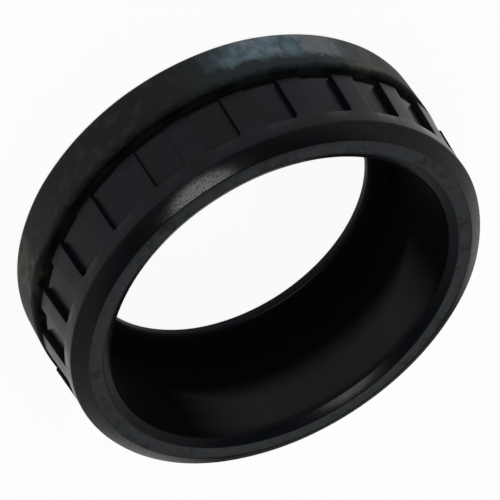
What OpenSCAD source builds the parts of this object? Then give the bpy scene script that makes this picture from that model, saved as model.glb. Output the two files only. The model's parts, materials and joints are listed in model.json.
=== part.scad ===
// Rubber bushing: a moulded ring that cushions a ball bearing in its housing.
// One piece. Millimetres, Z up the ring axis, flat flange face at z = 0.

/* [Bearing seat] */
// diameter of the bearing seat
seat_d = 22; // [16:0.5:30]
// how far the shoulder reaches inwards from the seat
shoulder_w = 1.5; // [0.8:0.1:3]
// thickness of the shoulder that the bearing stops against
shoulder_h = 0.7; // [0.6:0.05:1.5]
// round on the edges of the shoulder's hole
hole_round = 0.2; // [0.1:0.05:0.25]

/* [Ribbed band] */
// rubber between the seat and the floor of the pockets
wall_t = 2.05; // [1.4:0.05:3]
// depth of the pockets between the ribs
pocket_depth = 0.45; // [0.3:0.05:1]
// number of ribs around the band
rib_count = 24; // [12:1:30]
// width of one rib along the circle
rib_w = 1.35; // [0.8:0.05:1.8]
// break on the edges of the ribs
rib_break = 0.12; // [0.05:0.01:0.2]
// height of the unbroken rim in front of the pockets
rim_h = 0.95; // [0.5:0.05:1.4]

/* [Flange and groove] */
// height of the plain flange at the flat end
flange_h = 3.2; // [2:0.1:3.8]
// how far the flange stands out past the ribs
flange_step = 0.25; // [0:0.05:1.5]
// round on the flange's flat-end edge
flange_round = 0.3; // [0.15:0.05:0.6]
// round on the flange's edge beside the groove
flange_top_round = 0.3; // [0.1:0.05:0.35]
// width of the groove between the flange and the ribs
groove_h = 0.8; // [0.4:0.05:1.2]
// how far the groove's floor lies below the pockets' floor
groove_step = 0.05; // [0.05:0.05:0.4]

/* [Front lip] */
// height of the whole ring
ring_h = 8.75; // [8:0.05:12]
// width of the slope outside the flat front face
lip_slope_w = 0.95; // [0.4:0.05:1.2]
// height of the slope outside the flat front face
lip_slope_h = 0.65; // [0.4:0.05:0.9]
// width of the lead-in slope inside the flat front face
lead_in_w = 0.6; // [0.3:0.05:0.9]
// height of the lead-in slope inside the flat front face
lead_in_h = 0.4; // [0.2:0.05:0.7]
// round on the edges of the front face and slopes
lip_round = 0.15; // [0.05:0.05:0.2]

/* [Hidden] */
$fn = 144;
// how far the pocket cutters reach past the surfaces they open
reach = 0.5;
// round in the groove's inner corner
groove_round = 0.15;
// size of an arc against its round
arc_over = 1.004;

seat_r = seat_d / 2;
hole_r = seat_r - shoulder_w;
pocket_r = seat_r + wall_t;
groove_r = pocket_r - groove_step;
band_r = pocket_r + pocket_depth;
flange_r = band_r + flange_step;
lip_outer_r = band_r - lip_slope_w;
lip_inner_r = seat_r + lead_in_w;
band_z = flange_h + groove_h;
slope_z = ring_h - lip_slope_h;
pocket_top_z = slope_z - rim_h;
lead_in_z = ring_h - lead_in_h;
pitch = 360 / rib_count;

// corners of the ring's section, from the hole around the outside
hole_low = [hole_r, 0];
flange_low = [flange_r, 0];
flange_top = [flange_r, flange_h];
groove_low = [groove_r, flange_h];
groove_top = [groove_r, band_z];
band_foot = [band_r - rib_break, band_z];
band_low = [band_r, band_z + rib_break];
band_top = [band_r, slope_z];
lip_out = [lip_outer_r, ring_h];
lip_in = [lip_inner_r, ring_h];
seat_top = [seat_r, lead_in_z];
seat_low = [seat_r, shoulder_h];
hole_top = [hole_r, shoulder_h];

// unit vector from one 2D point to another
function toward(a, b) = (b - a) / norm(b - a);

// 2D point turned about the ring axis
function turn(p, a) = [p.x * cos(a) - p.y * sin(a), p.x * sin(a) + p.y * cos(a)];

// 2D point on the other side of the X axis
function flip(p) = [p.x, -p.y];

// sliver of the corner a-b-c that a round of radius r takes off or fills in
// the arc is a hair larger than the round, so that it crosses both sides and doesn't just touch them
module sliver(a, b, c, r) {
    u = toward(b, a);
    v = toward(b, c);
    half = acos(u * v) / 2;
    run = r / tan(half);
    difference() {
        polygon([b, b + u * run, b + v * run]);
        translate(b + toward([0, 0], u + v) * r / sin(half)) circle(r = r * arc_over);
    }
}

// section of the ring, on the +X side of the axis
module ring_section() {
    difference() {
        polygon([hole_low, flange_low, flange_top, groove_low, groove_top, band_foot, band_low,
                 band_top, lip_out, lip_in, seat_top, seat_low, hole_top]);
        sliver(hole_low, flange_low, flange_top, flange_round);
        sliver(flange_low, flange_top, groove_low, flange_top_round);
        sliver(band_low, band_top, lip_out, lip_round);
        sliver(band_top, lip_out, lip_in, lip_round);
        sliver(lip_out, lip_in, seat_top, lip_round);
        sliver(lip_in, seat_top, seat_low, lip_round);
        sliver(seat_low, hole_top, hole_low, hole_round);
        sliver(hole_top, hole_low, flange_low, hole_round);
    }
    sliver(flange_top, groove_low, groove_top, groove_round);
}

// one pocket seen along the axis, on the +X side, between two ribs half a pitch away
module pocket_section() {
    // side of a rib that lies on the X axis: foot, broken edge, and past the rib's top
    foot = [pocket_r - reach, rib_w / 2];
    edge = [band_r - rib_break, rib_w / 2];
    past = [band_r + reach, rib_w / 2 - rib_break - reach];
    side = pitch / 2;
    difference() {
        polygon([turn(foot, -side), turn(edge, -side), turn(past, -side),
                 turn(flip(past), side), turn(flip(edge), side), turn(flip(foot), side)]);
        circle(r = pocket_r);
    }
}

module bushing() {
    color([0.06, 0.06, 0.065])
    difference() {
        rotate_extrude() ring_section();
        for (i = [0 : rib_count - 1])
            rotate([0, 0, (i + 0.5) * pitch])
            translate([0, 0, band_z - groove_h / 2])
            linear_extrude(pocket_top_z - band_z + groove_h / 2)
                pocket_section();
    }
}

bushing();
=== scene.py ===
import json
import math
from types import SimpleNamespace

import bmesh
import bpy
from mathutils import Matrix, Vector, noise


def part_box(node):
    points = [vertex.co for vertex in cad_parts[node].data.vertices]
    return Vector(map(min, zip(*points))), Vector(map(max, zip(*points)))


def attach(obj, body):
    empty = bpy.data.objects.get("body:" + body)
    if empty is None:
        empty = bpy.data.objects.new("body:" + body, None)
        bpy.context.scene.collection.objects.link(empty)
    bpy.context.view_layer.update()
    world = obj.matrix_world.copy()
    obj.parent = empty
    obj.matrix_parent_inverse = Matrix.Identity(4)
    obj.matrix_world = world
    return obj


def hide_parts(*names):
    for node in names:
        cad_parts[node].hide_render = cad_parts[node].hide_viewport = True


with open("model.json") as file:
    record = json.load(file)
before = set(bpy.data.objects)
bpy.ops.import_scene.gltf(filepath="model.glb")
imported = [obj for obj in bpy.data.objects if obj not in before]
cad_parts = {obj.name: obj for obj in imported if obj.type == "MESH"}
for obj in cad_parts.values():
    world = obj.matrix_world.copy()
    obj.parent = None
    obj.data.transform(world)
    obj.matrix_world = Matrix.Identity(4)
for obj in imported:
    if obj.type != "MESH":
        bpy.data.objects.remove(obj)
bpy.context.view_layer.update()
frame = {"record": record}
mm = 0.001
tiny = 0.002 * mm                 # lengths below this count as none
tinyAngle = 0.001                 # and so do angles, in radians

mounts = {mount["name"]: mount for mount in frame["record"]["mounts"]}
lowCorner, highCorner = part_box("bushing")


def meshFrom(bm, name):
    mesh = bpy.data.meshes.new(name)
    bm.to_mesh(mesh)
    bm.free()
    return mesh


def addObject(name, data):
    made = bpy.data.objects.new(name, data)
    bpy.context.scene.collection.objects.link(made)
    return made


ring = {
    "ribs": 24,
    "ribWidth": 1.42 * mm,
    "ribEdge": 0.03 * mm,         # round on the ribs and the pocket mouths
    "ribEdgeSteps": 3,
    "ribEdgeAngle": 60,           # degrees past which an edge of the band is rounded
    "ribEnd": 0.12 * mm,          # break on the rear ends of the ribs
    "draft": (0.22 * mm, -0.05 * mm),    # the band is wider at its rear end, narrower in front
    "depthShare": 0.85,           # share of the pocket depth that is left under the draft
    "wall": 2.05 * mm,            # rubber between the seat and the pocket floors
    "pocketDepth": 0.45 * mm,
    "pocketCorner": 0.3 * mm,     # round in the front corners of the pockets
    "rimHeight": 0.95 * mm,       # plain rim in front of the pockets
    "shoulderWidth": 1.5 * mm,
    "shoulderHeight": 0.7 * mm,
    "flangeHeight": 3.2 * mm,
    "grooveHeight": 0.8 * mm,
    "slopeWidth": 0.95 * mm,      # outside the flat front face
    "slopeHeight": 0.65 * mm,
    "leadInWidth": 0.6 * mm,      # inside the flat front face
    "leadInHeight": 0.4 * mm,
    "flangeRound": 0.3 * mm,
    "lipRound": 0.15 * mm,
    "holeRound": 0.2 * mm,
    "grooveRound": 0.15 * mm,
    "roundSteps": 4,
    "ribSteps": 6,                # mesh columns on a rib
    "pocketSteps": 5,             # mesh columns on half a pocket
    "flangeLoops": 10,
    "seatLoops": 5,
    "sharpAngle": 35,             # degrees past which an edge is shaded sharp
}

# radii and heights of the section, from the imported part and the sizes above
flangeRadius = highCorner.x
ringTop = highCorner.z
seatRadius = mounts["bearing_seat"]["dims"]["r_mm"] * mm
holeRadius = seatRadius - ring["shoulderWidth"]
pocketRadius = seatRadius + ring["wall"]
bandRadius = pocketRadius + ring["pocketDepth"]
lipOuter = bandRadius - ring["slopeWidth"]
lipInner = seatRadius + ring["leadInWidth"]
flangeTop = ring["flangeHeight"]
bandLow = flangeTop + ring["grooveHeight"]
slopeLow = ringTop - ring["slopeHeight"]
pocketTop = slopeLow - ring["rimHeight"]
leadInLow = ringTop - ring["leadInHeight"]
pitch = 2 * math.pi / ring["ribs"]
ribAngle = 2 * math.asin(ring["ribWidth"] / 2 / bandRadius)


def ribOffset(point):
    # angle from the middle of the nearest rib
    return (math.atan2(point.y, point.x) + pitch / 2) % pitch - pitch / 2


def makeSection(bm):
    # corners of the section, from the hole around the outside, each with its round
    corners = [
        (holeRadius, 0, ring["holeRound"]),
        (flangeRadius, 0, ring["flangeRound"]),
        (flangeRadius, flangeTop, ring["flangeRound"]),
        (pocketRadius, flangeTop, ring["grooveRound"]),
        (pocketRadius, bandLow, 0),
        (bandRadius - ring["ribEnd"], bandLow, 0),
        (bandRadius, bandLow + ring["ribEnd"], 0),
        (bandRadius, slopeLow, ring["lipRound"]),
        (lipOuter, ringTop, ring["lipRound"]),
        (lipInner, ringTop, ring["lipRound"]),
        (seatRadius, leadInLow, ring["lipRound"]),
        (seatRadius, ring["shoulderHeight"], 0),
        (holeRadius, ring["shoulderHeight"], ring["holeRound"]),
    ]
    verts = [bm.verts.new((radius, 0, height)) for radius, height, size in corners]
    bm.faces.new(verts)
    for vert, corner in zip(verts, corners):
        size = corner[2]
        if size == 0:
            continue
        sides = [(edge.other_vert(vert).co - vert.co) for edge in vert.link_edges]
        runOut = size / math.tan(sides[0].angle(sides[1]) / 2)
        bmesh.ops.bevel(bm, geom=[vert], offset=runOut, offset_type="OFFSET", affect="VERTICES",
                        segments=ring["roundSteps"], profile=0.5, material=-1)
    bmesh.ops.delete(bm, geom=bm.faces[:], context="FACES_ONLY")
    # loops along the flange, the seat and at the closed end of the pockets
    heights = [pocketTop]
    heights += [flangeTop * (i + 0.5) / ring["flangeLoops"] for i in range(ring["flangeLoops"])]
    seatStep = (pocketTop - bandLow) / ring["seatLoops"]
    heights += [bandLow + seatStep * (i + 1) for i in range(ring["seatLoops"] - 1)]
    for height in heights:
        bmesh.ops.bisect_plane(bm, geom=bm.verts[:] + bm.edges[:], dist=tiny,
                               plane_co=(0, 0, height), plane_no=(0, 0, 1))


def cutPockets(bm):
    # the mouths of the pockets, on the band and on its rear edge
    mouths, rears = [], []
    for face in bm.faces:
        middle = face.calc_center_median()
        if abs(ribOffset(middle)) < ribAngle / 2:
            continue
        if middle.xy.length < pocketRadius + tiny or not bandLow - tiny < middle.z < pocketTop:
            continue
        if middle.z < bandLow + tiny:
            rears.append(face)
        else:
            mouths.append(face)
    bmesh.ops.delete(bm, geom=rears, context="FACES")
    pushed = bmesh.ops.extrude_face_region(bm, geom=mouths)["geom"]
    for vert in pushed:
        if isinstance(vert, bmesh.types.BMVert):
            vert.co.xy *= pocketRadius / vert.co.xy.length
    bmesh.ops.delete(bm, geom=mouths, context="FACES")
    # the pockets are open to the groove, so the walls across their rear end go
    rears = []
    for face in bm.faces:
        middle = face.calc_center_median()
        if abs(middle.z - bandLow) < tiny and middle.xy.length > pocketRadius + tiny:
            if abs(ribOffset(middle)) > ribAngle / 2:
                rears.append(face)
    bmesh.ops.delete(bm, geom=rears, context="FACES")
    bmesh.ops.remove_doubles(bm, verts=bm.verts[:], dist=tiny)
    bmesh.ops.recalc_face_normals(bm, faces=bm.faces[:])


def roundPockets(bm):
    # front corners of the pockets, where a rib meets the rim
    corners = []
    for edge in bm.edges:
        if max(abs(vert.co.z - pocketTop) for vert in edge.verts) > tiny:
            continue
        inner, outer = sorted(vert.co.xy.length for vert in edge.verts)
        if outer - inner <= ring["pocketDepth"] / 2 or inner <= seatRadius + tiny:
            continue
        if abs(abs(ribOffset(edge.verts[0].co)) - ribAngle / 2) < tinyAngle:
            corners.append(edge)
    bmesh.ops.bevel(bm, geom=corners, offset=ring["pocketCorner"], offset_type="OFFSET",
                    affect="EDGES", segments=ring["roundSteps"], profile=0.5, material=-1)


def softenRibs(bm):
    # edges of the ribs and of the pocket mouths
    edges = []
    for edge in bm.edges:
        heights = [vert.co.z for vert in edge.verts]
        if min(heights) <= bandLow - tiny or max(heights) >= pocketTop + tiny:
            continue
        if min(vert.co.xy.length for vert in edge.verts) <= bandRadius - ring["ribEnd"] - tiny:
            continue
        if edge.calc_face_angle(0) > math.radians(ring["ribEdgeAngle"]):
            edges.append(edge)
    bmesh.ops.bevel(bm, geom=edges, offset=ring["ribEdge"], offset_type="OFFSET",
                    affect="EDGES", segments=ring["ribEdgeSteps"], profile=0.5, material=-1)


def draftBand(bm):
    # the outside of the band leans in towards the front, and fades into the slope
    wide, narrow = ring["draft"]
    for vert in bm.verts:
        radius, height = vert.co.xy.length, vert.co.z
        if radius < lipOuter + tiny or height < bandLow - tiny:
            continue
        lean = wide + (narrow - wide) * min((height - bandLow) / (pocketTop - bandLow), 1)
        if height < pocketTop + tiny:
            lean += (bandRadius - radius) * (1 - ring["depthShare"])
        fade = min((ringTop - height) / ring["slopeHeight"], 1)
        vert.co.xy *= 1 + lean * fade / radius


wear = {
    "sag": 0.03 * mm,             # slow unevenness of the moulding
    "flangeSag": 0.02 * mm,       # more of it on the flange
    "sagSize": 3.5 * mm,
    "edge": 0.10 * mm,            # ragged wear of the flange's edge beside the groove
    "edgeBand": 0.5 * mm,
    "raggedSize": 1.1 * mm,
    "raggedDetail": 3,
    "curl": 0.2 * mm,             # one side of the lip's outer edge stands up a little
    "curlAngle": 91.5,
    "curlFade": (0.2, 0.65),      # cosines of the angles where it begins and is full
}


def rise(value, low, high):
    share = min(max((value - low) / (high - low), 0), 1)
    return share * share * (3 - 2 * share)


def wearRing(bm):
    for vert in bm.verts:
        radius, height = vert.co.xy.length, vert.co.z
        if radius > lipOuter and height > pocketTop + tiny:
            angle = math.degrees(math.atan2(vert.co.y, vert.co.x)) - wear["curlAngle"]
            side = rise(math.cos(math.radians(angle)), *wear["curlFade"])
            vert.co.z += wear["curl"] * side * min((radius - lipOuter) / ring["slopeWidth"], 1)
    # every other move goes into the rubber, so the ring never outgrows its box
    bm.normal_update()
    moves = []
    for vert in bm.verts:
        radius, height = vert.co.xy.length, vert.co.z
        slow = 0.5 + 0.5 * noise.noise(vert.co / wear["sagSize"])
        ragged = 0.5 + 0.5 * noise.turbulence(vert.co / wear["raggedSize"], wear["raggedDetail"], False)
        depth = wear["sag"] * slow
        if radius > pocketRadius and height < flangeTop + tiny:
            depth += wear["flangeSag"] * slow
            depth += wear["edge"] * ragged * rise(height, flangeTop - wear["edgeBand"], flangeTop)
        moves.append((vert, vert.normal * -depth))
    for vert, move in moves:
        vert.co += move


def makeRing():
    bm = bmesh.new()
    makeSection(bm)
    bmesh.ops.rotate(bm, verts=bm.verts[:], cent=(0, 0, 0), matrix=Matrix.Rotation(-pitch / 2, 3, "Z"))
    # half a pocket, a rib and half a pocket, over and over
    halfPocket = ((pitch - ribAngle) / 2, ring["pocketSteps"])
    turns = (halfPocket, (ribAngle, ring["ribSteps"]), halfPocket) * ring["ribs"]
    last = bm.verts[:] + bm.edges[:]
    for angle, steps in turns:
        last = bmesh.ops.spin(bm, geom=last, cent=(0, 0, 0), axis=(0, 0, 1),
                              angle=angle, steps=steps)["geom_last"]
    bmesh.ops.remove_doubles(bm, verts=bm.verts[:], dist=tiny)
    cutPockets(bm)
    roundPockets(bm)
    softenRibs(bm)
    draftBand(bm)
    bmesh.ops.recalc_face_normals(bm, faces=bm.faces[:])
    wearRing(bm)
    for face in bm.faces:
        face.smooth = True
    openEdges = sum(1 for edge in bm.edges if not edge.is_manifold)
    mesh = meshFrom(bm, "rubberRing")
    mesh.set_sharp_from_angle(angle=math.radians(ring["sharpAngle"]))
    print("ring:", len(mesh.polygons), "faces,", openEdges, "open edges")
    return addObject("rubberRing", mesh)


class Wire:
    # wraps a socket, so that shader maths reads as plain maths
    tree = None

    def __init__(self, socket):
        self.socket = socket

    @classmethod
    def node(cls, kind, settings=None, inputs=None, out=0):
        made = cls.tree.nodes.new(kind)
        for name, value in (settings or {}).items():
            setattr(made, name, value)
        for name, value in (inputs or {}).items():
            if isinstance(value, Wire):
                cls.tree.links.new(value.socket, made.inputs[name])
            else:
                made.inputs[name].default_value = value
        return cls(made.outputs[out]) if len(made.outputs) else None

    @classmethod
    def maths(cls, operation, first, second=0):
        return cls.node("ShaderNodeMath", {"operation": operation}, {0: first, 1: second})

    def sibling(self, name):
        # another output of the same node
        return Wire(self.socket.node.outputs[name])

    def __add__(self, other):
        return Wire.maths("ADD", self, other)

    def __sub__(self, other):
        return Wire.maths("SUBTRACT", self, other)

    def __rsub__(self, other):
        return Wire.maths("SUBTRACT", other, self)

    def __mul__(self, other):
        return Wire.maths("MULTIPLY", self, other)

    __radd__ = __add__
    __rmul__ = __mul__


def freshMaterial(name):
    material = bpy.data.materials.new(name)
    material.use_nodes = True
    Wire.tree = material.node_tree
    Wire.tree.nodes.clear()
    return material


def ramp(value, low, high, to=(0, 1)):
    # eased from one value to the other between low and high
    return Wire.node("ShaderNodeMapRange", {"interpolation_type": "SMOOTHSTEP"},
                     {"Value": value, "From Min": low, "From Max": high, "To Min": to[0], "To Max": to[1]})


def mixColour(share, first, second):
    return Wire.node("ShaderNodeMix", {"data_type": "RGBA"}, {0: share, 6: first, 7: second}, out=2)


def vectorMaths(operation, first, second=(0, 0, 0), out=0):
    return Wire.node("ShaderNodeVectorMath", {"operation": operation}, {0: first, 1: second}, out=out)


def noiseAt(place, scale, detail, roughness):
    return Wire.node("ShaderNodeTexNoise", {"noise_dimensions": "3D"},
                     {"Vector": place, "Scale": scale, "Detail": detail, "Roughness": roughness})


def waver(pattern, size):
    # swings to both sides of zero
    return (pattern - 0.5) * size


def largest(first, *others):
    for other in others:
        first = Wire.maths("MAXIMUM", first, other)
    return first


def angleFrom(direction, degrees):
    # degrees around the ring, to either side of the given angle
    aim = (math.cos(math.radians(degrees)), math.sin(math.radians(degrees)), 0)
    return Wire.maths("ARCCOSINE", vectorMaths("DOT_PRODUCT", direction, aim, out=1)) * math.degrees(1)


def ribDistance(direction):
    # radians around the ring, from the side of the nearest rib into the pocket
    across = Wire.node("ShaderNodeSeparateXYZ", inputs={0: direction}, out="X")
    angle = Wire.maths("ARCTAN2", across.sibling("Y"), across)
    return Wire.maths("PINGPONG", angle, pitch / 2) - ribAngle / 2


# where each zone of the ring begins and where it is full: radii and heights in mm
zones = {
    "flangeSide": (13.1, 13.2),
    "flangeTop": (3.25, 3.15),
    "bandSide": (12.8, 12.9),
    "bandLow": (3.5, 3.7),
    "bandTop": (7.3, 7.2),
    "floorSide": (13.25, 13.15),
    "floorFacing": (0.6, 0.9),    # cosine between the normal and straight outwards
    "rimLow": (7.1, 7.25),
    "lipLow": (7.98, 8.12),
    "slopeSide": (12.42, 12.5),
    "leadInSide": (11.72, 11.64),
    "seatInner": (9.7, 9.95),
    "seatSide": (11.2, 11.1),
    "seatLow": (0.5, 0.65),
    "holeSide": (9.85, 9.7),
    "grooveLow": (3.05, 3.15),
    "grooveTop": (4.4, 3.3),
    "grooveRib": (13.15, 13.45),  # over the ribs the painted groove shade reaches further up
    "grooveReach": 0.4,
}

# the noises of the rubber: spots for each mm, detail and roughness
noises = {
    "cloud": (0.45, 3, 0.55),
    "mottle": (1.4, 4, 0.55),
    "streak": (1.9, 5, 0.65),
    "streakStretch": (1, 1, 0.6),     # longer along the axis
    "grain": (9.0, 3, 0.6),
    "dusting": (3.2, 3, 0.55),
    "blotch": (1.1, 5, 0.65),
}


def readSpot():
    # what the rest of the rubber asks of a point: its place, its zones from 0 to 1, and the noises there
    spot = SimpleNamespace()
    source = Wire.node("ShaderNodeTexCoord", out="Object")
    place = vectorMaths("MULTIPLY", source, (1 / mm, 1 / mm, 1 / mm))
    height = Wire.node("ShaderNodeSeparateXYZ", inputs={0: place}, out="Z")
    flat = vectorMaths("MULTIPLY", place, (1, 1, 0))
    radius = vectorMaths("LENGTH", flat, out=1)
    direction = vectorMaths("NORMALIZE", flat)
    draft = [lean / mm for lean in ring["draft"]]
    level = radius - ramp(height, bandLow / mm, pocketTop / mm, draft)    # radius without the draft
    spot.height = height
    spot.direction = direction
    spot.outward = vectorMaths("DOT_PRODUCT", source.sibling("Normal"), direction, out=1)
    spot.ribSide = ribDistance(direction) * (pocketRadius / mm)

    spot.flange = ramp(radius, *zones["flangeSide"]) * ramp(height, *zones["flangeTop"])
    spot.band = ramp(radius, *zones["bandSide"]) * ramp(height, *zones["bandLow"])
    spot.band = spot.band * ramp(height, *zones["bandTop"])
    spot.floors = spot.band * ramp(level, *zones["floorSide"]) * ramp(spot.outward, *zones["floorFacing"])
    spot.rim = ramp(height, *zones["rimLow"])
    spot.lip = ramp(height, *zones["lipLow"])
    spot.slope = spot.lip * ramp(radius, *zones["slopeSide"])
    spot.leadIn = spot.lip * ramp(radius, *zones["leadInSide"])
    spot.face = spot.lip - spot.slope - spot.leadIn
    spot.seat = ramp(radius, *zones["seatInner"]) * ramp(radius, *zones["seatSide"])
    spot.seat = spot.seat * ramp(height, *zones["seatLow"])
    spot.hole = ramp(radius, *zones["holeSide"])
    # painted shade in the groove: the flange's top face beside it, the groove floor and the rear ends of the
    # ribs
    overRibs = ramp(level, *zones["grooveRib"]) * zones["grooveReach"]
    spot.groove = ramp(radius, *zones["bandSide"]) * ramp(height, *zones["grooveLow"])
    spot.groove = spot.groove * ramp(height - overRibs, *zones["grooveTop"])

    upright = vectorMaths("MULTIPLY", place, noises["streakStretch"])
    spot.cloud = noiseAt(place, *noises["cloud"])
    spot.mottle = noiseAt(place, *noises["mottle"])
    spot.streak = noiseAt(upright, *noises["streak"])
    spot.grain = noiseAt(place, *noises["grain"])
    spot.dusting = noiseAt(place, *noises["dusting"])
    spot.blotch = noiseAt(place, *noises["blotch"])
    return spot


rubber = {
    "plain": (0.0030, 0.0030, 0.0032, 1),     # black of the flange and the slopes
    "violet": (0.0036, 0.0028, 0.0066, 1),    # the band leans a little to violet
    "violetCloud": (0.40, 0.56),
    "violetOffSlope": 0.6,                    # less of it there
    "teal": (0.0014, 0.0048, 0.0066, 1),      # and the flat front face to teal
    "tealCloud": (0.55, 0.45),
    "tealLeadIn": 0.5,
    "seatTone": (0.0038, 0.0024, 0.0044, 1),
    "dust": (0.0100, 0.0100, 0.0100, 1),
    "flangeDust": (0.48, 0.70),
    "faceDust": (0.50, 0.68),
    "faceDustShare": 0.5,
    "specular": 0.11,
    "flangeRoughness": 0.58,
    "bandRoughness": 0.32,
    "rimRoughness": 0.25,
    "lipRoughness": 0.16,
    "leadInRoughness": 0.22,
    "bloomRoughness": 0.25,                   # this and the next two come on top
    "mottleRoughness": 0.1,
    "lipGrainRoughness": 0.3,
    "reliefDepth": 0.012 * mm,
    "reliefStrength": 0.35,
    "mottleRelief": 0.8,                      # beside the grain
    "streakRelief": 1.5,                      # on the flange
    "lipSmooth": 0.62,
}


def paintBlack(spot):
    cast = ramp(spot.cloud, *rubber["violetCloud"]) * (1 - spot.flange)
    cast = cast * (1 - spot.slope * rubber["violetOffSlope"])
    tone = mixColour(cast, rubber["plain"], rubber["violet"])
    cast = largest(spot.face, spot.leadIn * rubber["tealLeadIn"]) * ramp(spot.cloud, *rubber["tealCloud"])
    tone = mixColour(cast, tone, rubber["teal"])
    tone = mixColour(spot.seat, tone, rubber["seatTone"])
    tone = mixColour(spot.flange * ramp(spot.mottle, *rubber["flangeDust"]), tone, rubber["dust"])
    dust = spot.face * ramp(spot.dusting, *rubber["faceDust"]) * rubber["faceDustShare"]
    return mixColour(dust, tone, rubber["dust"])


def findRoughness(spot, bloomed):
    rough = rubber["bandRoughness"] + spot.rim * (rubber["rimRoughness"] - rubber["bandRoughness"])
    rough = rough + spot.lip * (rubber["lipRoughness"] - rubber["rimRoughness"])
    rough = rough + spot.leadIn * (rubber["leadInRoughness"] - rubber["lipRoughness"])
    rough = rough + spot.flange * (rubber["flangeRoughness"] - rubber["bandRoughness"])
    rough = rough + waver(spot.mottle, rubber["mottleRoughness"]) + bloomed * rubber["bloomRoughness"]
    return rough + spot.lip * waver(spot.grain, rubber["lipGrainRoughness"])


# where the rubber is matt and darker, and how much of it: lost gloss in places, and painted shade in the
# groove, on the rib sides, in the seat and on the far side of the slope; angles in degrees, heights in mm
dullAndShade = {
    "tone": (0.0012, 0.0010, 0.0014, 1),
    "roughness": 0.8,
    "specular": 0.02,
    "grooveEdge": 0.7,                  # darker, duller edge of the flange beside the groove
    "grooveEdgeHeight": (2.85, 3.18),
    "grooveEdgeWaver": 0.5,
    "narrowAngle": 265.5,          # the side where that darker edge is narrowest; away from it the edge is wider
    "narrowSpread": (50, 62),
    "wider": 0.5,
    # painted shade in the groove, on the flange's top face and on the rear ends of the ribs
    "groove": 0.88,
    "sides": 0.5,                 # painted shade on the sides of the ribs, with a line of it along them on the pocket floors
    "sideFacing": (0.5, 0.2),
    "sideFoot": (0.06, 0.0),
    "slopeShade": 0.95,                # painted shade: the far side of the slope outside the flat face is matt and darker, holding down its reflection
    "slopeShadeAngle": 91.5,
    "slopeShadeSpread": (68, 40),
    "slope": 0.5,                 # specks all around it
    "slopeGrain": (0.50, 0.66),
    "face": 0.42,                 # blotches on the flat front face
    "faceBlotch": (0.50, 0.68),
    "leadIn": 0.45,
    "hole": 0.5,
    "seatShadeHeight": (6.2, 4.0),     # painted shade: the seat is matt and dark low down and to the sides, leaving its far side below the lip glossy as a painted lit patch
    "seatShadeWaver": 0.4,
    "litSeatAngle": 92.5,
    "litSeatSpread": (24, 58),
}


def findDullAndShade(spot):
    # the flange goes darker and duller towards the groove, in a strip that widens away from one side
    wider = ramp(angleFrom(spot.direction, dullAndShade["narrowAngle"]), *dullAndShade["narrowSpread"], (0, dullAndShade["wider"]))
    edge = spot.height + wider + waver(spot.mottle, dullAndShade["grooveEdgeWaver"]) + waver(spot.streak, dullAndShade["grooveEdgeWaver"])
    grooveEdge = ramp(edge, *dullAndShade["grooveEdgeHeight"]) * spot.flange * dullAndShade["grooveEdge"]
    # painted shade on the rib walls and in the pocket corners at their feet
    sides = largest(spot.band * ramp(spot.outward, *dullAndShade["sideFacing"]),
                    spot.floors * ramp(spot.ribSide, *dullAndShade["sideFoot"])) * dullAndShade["sides"]
    # painted shade on the far side of the slope
    slopeShade = spot.slope * ramp(angleFrom(spot.direction, dullAndShade["slopeShadeAngle"]), *dullAndShade["slopeShadeSpread"])
    specks = spot.slope * ramp(spot.grain, *dullAndShade["slopeGrain"]) * dullAndShade["slope"]
    blotches = spot.face * ramp(spot.blotch, *dullAndShade["faceBlotch"]) * dullAndShade["face"]
    # painted shade low in the seat and to its sides; the far side below the lip is left as a painted lit
    # patch
    seatLowShade = ramp(spot.height + waver(spot.cloud, dullAndShade["seatShadeWaver"]), *dullAndShade["seatShadeHeight"])
    seatSideShade = ramp(angleFrom(spot.direction, dullAndShade["litSeatAngle"]), *dullAndShade["litSeatSpread"])
    return largest(grooveEdge, spot.groove * dullAndShade["groove"], sides, spot.seat * largest(seatLowShade, seatSideShade),
                   slopeShade * dullAndShade["slopeShade"], spot.leadIn * dullAndShade["leadIn"], spot.hole * dullAndShade["hole"],
                   specks, blotches)


# what has come out of the flange and lies on it, with painted sheen in its yellowish stains; angles and
# spreads in degrees, heights in mm
bloom = {
    "blue": (0.075, 0.112, 0.134, 1),         # bluish bloom
    "white": (0.118, 0.140, 0.152, 1),        # and its whiter spots
    "whiteMottle": (0.45, 0.65),
    "angle": 234.5,
    "spread": (24, 10),
    "spreadWaver": 14,
    "top": (2.35, 1.75),
    "topMottle": 1.4,
    "topStreak": 1.0,
    "streaks": (0.32, 0.62),
    "cover": (0.45, 1.0),                     # between the streaks and in them
    "haze": (0.0070, 0.0112, 0.0126, 1),      # thin bluish haze around the bloom
    "hazeSpread": (36, 14),
    "chalk": (0.105, 0.108, 0.108, 1),
    "chalkAngle": 224.5,
    "chalkSpread": (7, 3.5),
    "chalkStreaks": (0.32, 0.6),
    "chalkCover": (0.3, 1.0),
    "stainAndSheen": (0.047, 0.048, 0.033, 1),        # yellowish stains to both sides of the bloom, also painted sheen lightening the flange's flanks
    "stainSheenAngles": (213.0, 329.5),
    "stainSheenSpread": (9, 4),
    "stainSheenWaver": 10,
    "stainSheenMottle": (0.35, 0.6),
    "stainSheenShare": 0.7,
    "speckAngle": 305.5,                      # dark specks
    "speckSpread": (8, 4),
    "speckGrain": (0.56, 0.64),
    "speckShare": 0.8,
}


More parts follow.
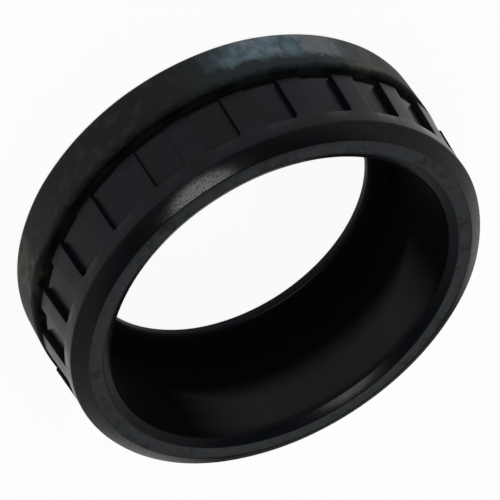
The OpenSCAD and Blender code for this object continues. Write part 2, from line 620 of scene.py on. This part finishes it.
def addBloom(spot, tone):
    # the bloom and the chalk keep to the low part of the flange
    top = spot.height + waver(spot.mottle, bloom["topMottle"]) + waver(spot.streak, bloom["topStreak"])
    below = ramp(top, *bloom["top"]) * spot.flange
    away = angleFrom(spot.direction, bloom["angle"]) + waver(spot.mottle, bloom["spreadWaver"])
    tone = mixColour(ramp(away, *bloom["hazeSpread"]) * spot.flange, tone, bloom["haze"])
    bloomed = ramp(away, *bloom["spread"]) * below * ramp(spot.streak, *bloom["streaks"], bloom["cover"])
    powder = mixColour(ramp(spot.mottle, *bloom["whiteMottle"]), bloom["blue"], bloom["white"])
    tone = mixColour(bloomed, tone, powder)
    chalk = ramp(angleFrom(spot.direction, bloom["chalkAngle"]), *bloom["chalkSpread"])
    chalk = chalk * ramp(spot.streak, *bloom["chalkStreaks"], bloom["chalkCover"])
    return mixColour(chalk * below, tone, bloom["chalk"]), bloomed


def addStainsAndSheen(spot, tone):
    # yellowish stains on the flange's two flanks, lightened as painted sheen
    for angle in bloom["stainSheenAngles"]:
        edge = angleFrom(spot.direction, angle) + waver(spot.streak, bloom["stainSheenWaver"])
        stainAndSheen = ramp(edge, *bloom["stainSheenSpread"]) * ramp(spot.mottle, *bloom["stainSheenMottle"])
        tone = mixColour(stainAndSheen * spot.flange * bloom["stainSheenShare"], tone, bloom["stainAndSheen"])
    specks = ramp(angleFrom(spot.direction, bloom["speckAngle"]), *bloom["speckSpread"])
    specks = specks * ramp(spot.grain, *bloom["speckGrain"]) * spot.flange
    return mixColour(specks * bloom["speckShare"], tone, dullAndShade["tone"])


def makeRubber():
    material = freshMaterial("blackRubber")
    spot = readSpot()
    tone, bloomed = addBloom(spot, paintBlack(spot))
    tone = addStainsAndSheen(spot, tone)
    relief = spot.grain + spot.mottle * rubber["mottleRelief"]
    relief = relief + spot.flange * spot.streak * rubber["streakRelief"]
    relief = relief * (1 - spot.lip * rubber["lipSmooth"])
    surface = Wire.node("ShaderNodeBump", inputs={
        "Height": relief, "Strength": rubber["reliefStrength"], "Distance": rubber["reliefDepth"]})
    satin = Wire.node("ShaderNodeBsdfPrincipled", inputs={
        "Base Color": tone, "Roughness": findRoughness(spot, bloomed),
        "Specular IOR Level": rubber["specular"], "Normal": surface})
    matt = Wire.node("ShaderNodeBsdfPrincipled", inputs={
        "Base Color": dullAndShade["tone"], "Roughness": dullAndShade["roughness"],
        "Specular IOR Level": dullAndShade["specular"], "Normal": surface})
    # the matt, darker rubber is mixed in where the gloss is lost and as painted shade
    shown = Wire.node("ShaderNodeMixShader", inputs={0: findDullAndShade(spot), 1: satin, 2: matt})
    Wire.node("ShaderNodeOutputMaterial", inputs={"Surface": shown})
    print("rubber:", len(Wire.tree.nodes), "nodes")
    return material


studio = {
    "floorSize": 1.6,
    "floorGap": 0.02 * mm,        # below the ring
    "floorColour": (0.86, 0.86, 0.86, 1),
    "floorLift": 0.9,             # share of plain white that the eye sees on the floor
    "walls": (1.0, 0.8),          # brightness of the surroundings towards -X and +X
    "wallTurn": (-0.5, 0.5),      # limits from here to panelTop are parts of a unit direction
    "wallTop": (0.85, 0.62),
    "panelSide": (0.45, 0.70),    # a soft panel behind, just above the line of sight
    "panelLow": (0.54, 0.66),
    "panelTop": (0.82, 0.70),
    "panel": 0.75,
    "ceiling": 0.05,
    "lampTilt": 20.6,             # degrees from straight up, towards the front
    "lampTurn": 9.0,
    "lampDistance": 0.5,
    "lampSize": 0.19,
    "lampPower": 1.3,
}


def makeFloor():
    bm = bmesh.new()
    bmesh.ops.create_grid(bm, x_segments=1, y_segments=1, size=studio["floorSize"] / 2)
    bmesh.ops.translate(bm, verts=bm.verts[:], vec=(0, 0, lowCorner.z - studio["floorGap"]))
    floor = addObject("floor", meshFrom(bm, "floor"))
    floor.data.materials.append(freshMaterial("paleFloor"))
    seen = Wire.node("ShaderNodeLightPath", out="Is Camera Ray")
    lift = seen + seen.sibling("Is Glossy Ray") + seen.sibling("Is Transmission Ray")
    paint = Wire.node("ShaderNodeBsdfDiffuse", inputs={"Color": studio["floorColour"]})
    white = Wire.node("ShaderNodeEmission", inputs={"Strength": 1.0})
    shown = Wire.node("ShaderNodeMixShader", inputs={0: lift * studio["floorLift"], 1: paint, 2: white})
    Wire.node("ShaderNodeOutputMaterial", inputs={"Surface": shown})


def makeLight():
    world = bpy.data.worlds.new("studio")
    bpy.context.scene.world = world
    world.use_nodes = True
    Wire.tree = world.node_tree
    background = Wire.tree.nodes["Background"]
    direction = Wire.node("ShaderNodeTexCoord", out="Generated")
    across = Wire.node("ShaderNodeSeparateXYZ", inputs={0: direction}, out="X")
    depth, height = across.sibling("Y"), across.sibling("Z")
    walls = ramp(across, *studio["wallTurn"], studio["walls"]) * ramp(height, *studio["wallTop"])
    panel = ramp(depth, *studio["panelSide"]) * ramp(height, *studio["panelLow"])
    panel = panel * ramp(height, *studio["panelTop"])
    glow = walls + panel * studio["panel"] + studio["ceiling"]
    Wire.tree.links.new(glow.socket, background.inputs["Color"])

    light = bpy.data.lights.new("softLamp", "AREA")
    light.shape = "DISK"
    light.size = studio["lampSize"]
    light.energy = studio["lampPower"]
    lamp = addObject("softLamp", light)
    tilt, turn = math.radians(studio["lampTilt"]), math.radians(studio["lampTurn"])
    towards = Vector((math.sin(tilt) * math.sin(turn), -math.sin(tilt) * math.cos(turn), math.cos(tilt)))
    lamp.location = towards * studio["lampDistance"] + Vector((0, 0, ringTop))
    lamp.rotation_euler = towards.to_track_quat("Z", "Y").to_euler()
    print("studio: floor, world and one soft lamp")


shot = {
    "aim": (-0.11 * mm, 1.69 * mm, 2.17 * mm),
    "distance": 151.87 * mm,
    "azimuth": 1.5,
    "elevation": 39.77,
    "roll": 147.18,
    "lens": 177.55,
    "sensor": 36,
    "near": 0.01,
}


def makeCamera():
    azimuth, elevation = math.radians(shot["azimuth"]), math.radians(shot["elevation"])
    back = Vector((math.sin(azimuth) * math.cos(elevation),
                   -math.cos(azimuth) * math.cos(elevation), math.sin(elevation)))
    view = bpy.data.cameras.new("camera")
    view.lens = shot["lens"]
    view.sensor_width = shot["sensor"]
    view.clip_start = shot["near"]
    camera = addObject("camera", view)
    roll = Matrix.Rotation(math.radians(shot["roll"]), 4, "Z")
    turn = (-back).to_track_quat("-Z", "Y").to_matrix().to_4x4() @ roll
    camera.matrix_world = Matrix.Translation(Vector(shot["aim"]) + back * shot["distance"]) @ turn
    bpy.context.scene.camera = camera
    print("camera: set")


rubberRing = makeRing()
rubberRing.data.materials.append(makeRubber())
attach(rubberRing, "root")
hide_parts("bushing")
makeFloor()
makeLight()
makeCamera()
bpy.context.scene.view_settings.view_transform = "Standard"
